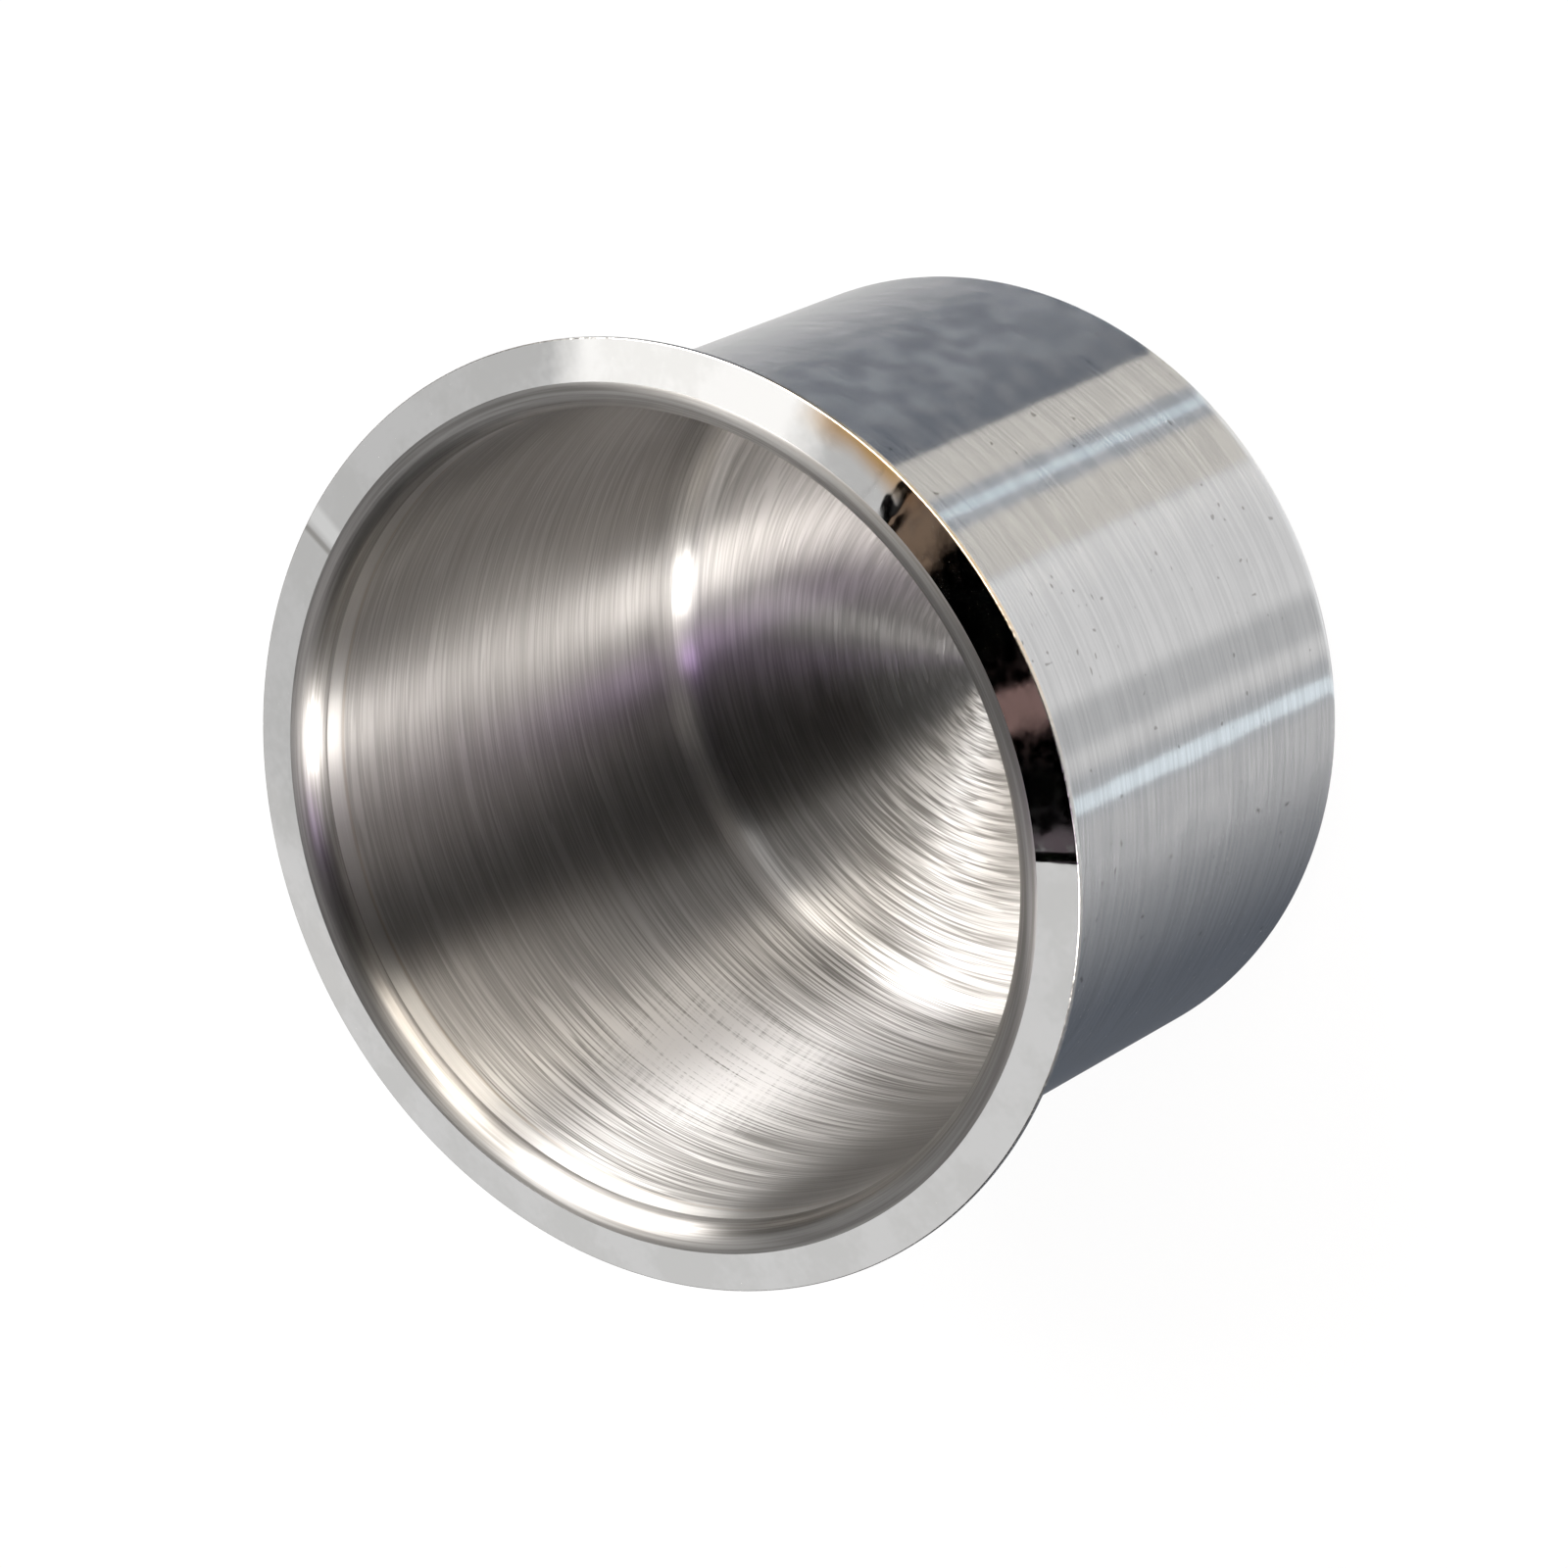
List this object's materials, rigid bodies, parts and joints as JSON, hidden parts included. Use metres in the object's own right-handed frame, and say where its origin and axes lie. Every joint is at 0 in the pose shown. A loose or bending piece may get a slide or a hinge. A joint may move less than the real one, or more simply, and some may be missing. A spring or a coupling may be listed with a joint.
{
  "type": "drop-in cup holder insert",
  "caption": "Round drawn steel cup with a flat base and a narrow drooping flange round its mouth, which drops into a hole in a panel and holds a drink.",
  "frame": {"origin": "centre of the underside of the base", "axes": "+Z along the cup's axis, from the base to the open mouth"},
  "size_m": [0.102, 0.102, 0.069],
  "materials": {
    "steel": "brushed round the axis on the wall and base, mirror polished on the flange"
  },
  "bodies": {
    "root": {"cup_insert": "steel"}
  },
  "joints": []
}
